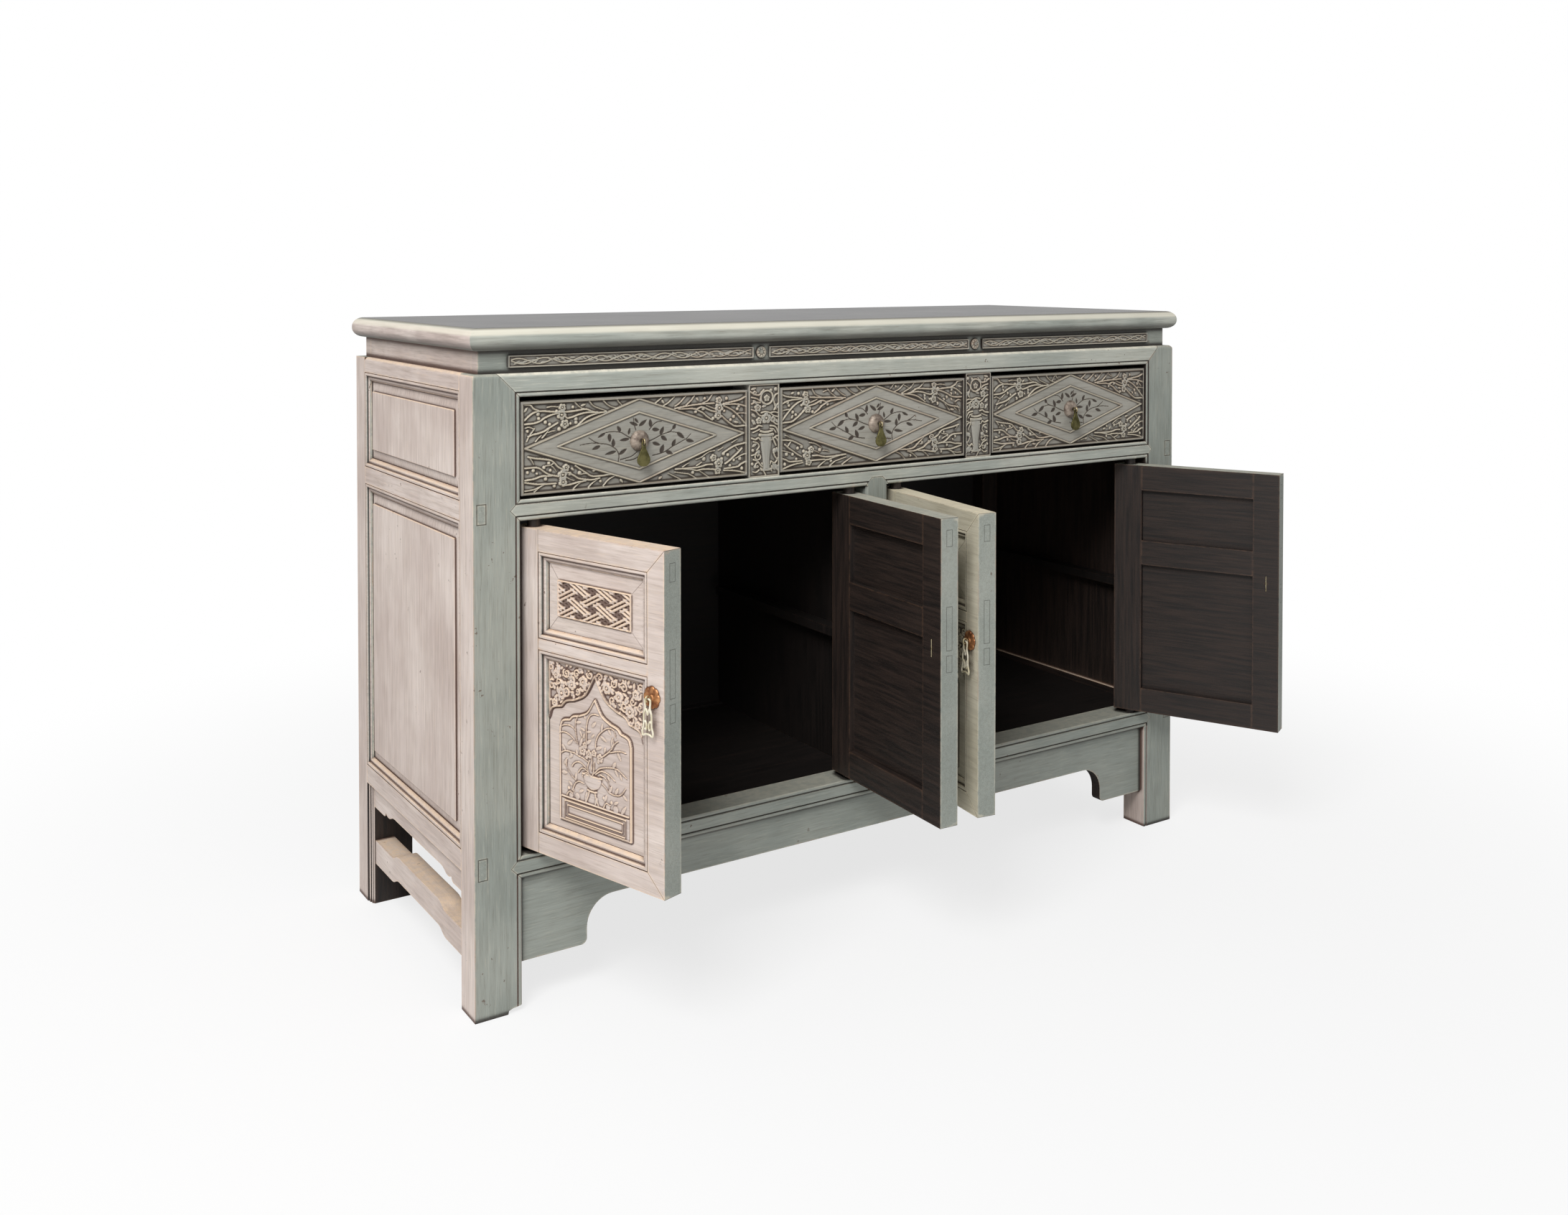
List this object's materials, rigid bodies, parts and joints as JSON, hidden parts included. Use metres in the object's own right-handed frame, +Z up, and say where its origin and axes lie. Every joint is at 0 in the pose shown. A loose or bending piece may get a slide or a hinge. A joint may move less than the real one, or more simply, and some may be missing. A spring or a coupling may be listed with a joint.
{
  "type": "sideboard",
  "caption": "Painted wooden sideboard with drawers in a row above paired panelled doors that turn on wooden pivots, on square posts with shaped aprons.",
  "frame": {"origin": "on the floor, under the middle of the box that holds the sideboard with its doors standing open", "axes": "+Z up, -Y to the front with the doors and drawers, +X to the right as seen from the front"},
  "size_m": [1.2922, 0.7094, 0.87],
  "materials": {
    "top_lacquer": "polished worn grey-brown lacquer",
    "front_paint": "worn grey-green paint with dark antiquing in the carving",
    "side_paint": "worn pinkish grey paint",
    "inner_wood": "dark stained bare wood",
    "brass": "dull olive brass",
    "copper": "reddish copper"
  },
  "bodies": {
    "root": {"front_left_leg": "front_paint", "front_right_leg": "front_paint", "rear_left_leg": "side_paint", "rear_right_leg": "side_paint", "front_top_rail": "front_paint", "front_mid_rail": "front_paint", "front_bottom_rail": "front_paint", "centre_stile": "front_paint", "left_drawer_divider": "front_paint", "right_drawer_divider": "front_paint", "front_apron": "front_paint", "left_side_rails": "side_paint", "left_side_panels": "side_paint", "left_side_apron": "side_paint", "left_side_stretcher": "side_paint", "right_side_rails": "side_paint", "right_side_panels": "side_paint", "right_side_apron": "side_paint", "right_side_stretcher": "side_paint", "back_rails": "inner_wood", "back_panel": "inner_wood", "floor_boards": "inner_wood", "floor_bearers": "inner_wood", "partition": "inner_wood", "shelf_bearers": "inner_wood", "drawer_runners": "inner_wood", "waist_boards": "front_paint", "top_board": "top_lacquer"},
    "left_drawer": {"left_drawer_front": "front_paint", "left_drawer_box": "inner_wood", "left_drawer_knob": "brass"},
    "left_drawer_swing": {"left_drawer_drop": "brass"},
    "middle_drawer": {"middle_drawer_front": "front_paint", "middle_drawer_box": "inner_wood", "middle_drawer_knob": "brass"},
    "middle_drawer_swing": {"middle_drawer_drop": "brass"},
    "right_drawer": {"right_drawer_front": "front_paint", "right_drawer_box": "inner_wood", "right_drawer_knob": "brass"},
    "right_drawer_swing": {"right_drawer_drop": "brass"},
    "left_outer_door": {"left_outer_door_hinge_stile": "front_paint", "left_outer_door_frame": "front_paint", "left_outer_door_panels": "front_paint", "left_outer_door_pull_plate": "copper"},
    "left_outer_door_pull_ring": {"left_outer_door_pull": "brass"},
    "left_inner_door": {"left_inner_door_hinge_stile": "front_paint", "left_inner_door_frame": "front_paint", "left_inner_door_panels": "front_paint", "left_inner_door_pull_plate": "copper"},
    "left_inner_door_pull_ring": {"left_inner_door_pull": "brass"},
    "right_inner_door": {"right_inner_door_hinge_stile": "front_paint", "right_inner_door_frame": "front_paint", "right_inner_door_panels": "front_paint", "right_inner_door_pull_plate": "copper"},
    "right_inner_door_pull_ring": {"right_inner_door_pull": "brass"},
    "right_outer_door": {"right_outer_door_hinge_stile": "front_paint", "right_outer_door_frame": "front_paint", "right_outer_door_panels": "front_paint", "right_outer_door_pull_plate": "copper"},
    "right_outer_door_pull_ring": {"right_outer_door_pull": "brass"}
  },
  "joints": [
    {"name": "left_drawer_slide", "type": "slide", "parent": "root", "child": "left_drawer", "axis": [0, -1, 0], "range_m": [0, 0.28]},
    {"name": "left_drawer_drop_swing", "type": "hinge", "parent": "left_drawer", "child": "left_drawer_swing", "pos_m": [-0.4059, -0.1292, 0.7155], "axis": [-1, 0, 0], "range_deg": [0, 90]},
    {"name": "middle_drawer_slide", "type": "slide", "parent": "root", "child": "middle_drawer", "axis": [0, -1, 0], "range_m": [0, 0.28]},
    {"name": "middle_drawer_drop_swing", "type": "hinge", "parent": "middle_drawer", "child": "middle_drawer_swing", "pos_m": [-0.01457, -0.1292, 0.7155], "axis": [-1, 0, 0], "range_deg": [0, 90]},
    {"name": "right_drawer_slide", "type": "slide", "parent": "root", "child": "right_drawer", "axis": [0, -1, 0], "range_m": [0, 0.28]},
    {"name": "right_drawer_drop_swing", "type": "hinge", "parent": "right_drawer", "child": "right_drawer_swing", "pos_m": [0.37676, -0.1292, 0.7155], "axis": [-1, 0, 0], "range_deg": [0, 90]},
    {"name": "left_outer_door_hinge", "type": "hinge", "parent": "root", "child": "left_outer_door", "pos_m": [-0.55307, -0.1078, 0.4095], "axis": [0, 0, 1], "range_deg": [-45, 73]},
    {"name": "left_outer_door_pull_swing", "type": "hinge", "parent": "left_outer_door", "child": "left_outer_door_pull_ring", "pos_m": [-0.50741, -0.33069, 0.43925], "axis": [-0.2924, 0.9563, 0], "range_deg": [0, 90]},
    {"name": "left_inner_door_hinge", "type": "hinge", "parent": "root", "child": "left_inner_door", "pos_m": [-0.05757, -0.1078, 0.4095], "axis": [0, 0, -1], "range_deg": [-1, 87]},
    {"name": "left_inner_door_pull_swing", "type": "hinge", "parent": "left_inner_door", "child": "left_inner_door_pull_ring", "pos_m": [-0.04795, -0.33512, 0.43925], "axis": [-0.0523, -0.9986, 0], "range_deg": [0, 22]},
    {"name": "right_inner_door_hinge", "type": "hinge", "parent": "root", "child": "right_inner_door", "pos_m": [0.02843, -0.1078, 0.4095], "axis": [0, 0, 1], "range_deg": [-1, 97.5]},
    {"name": "right_inner_door_pull_swing", "type": "hinge", "parent": "right_inner_door", "child": "right_inner_door_pull_ring", "pos_m": [-0.02245, -0.32956, 0.43925], "axis": [0.1305, 0.9914, 0], "range_deg": [0, 22]},
    {"name": "right_outer_door_hinge", "type": "hinge", "parent": "root", "child": "right_outer_door", "pos_m": [0.52393, -0.1078, 0.4095], "axis": [0, 0, -1], "range_deg": [-2, 116]},
    {"name": "right_outer_door_pull_swing", "type": "hinge", "parent": "right_outer_door", "child": "right_outer_door_pull_ring", "pos_m": [0.64254, -0.30195, 0.43925], "axis": [0.4384, -0.8988, 0], "range_deg": [0, 90]}
  ]
}
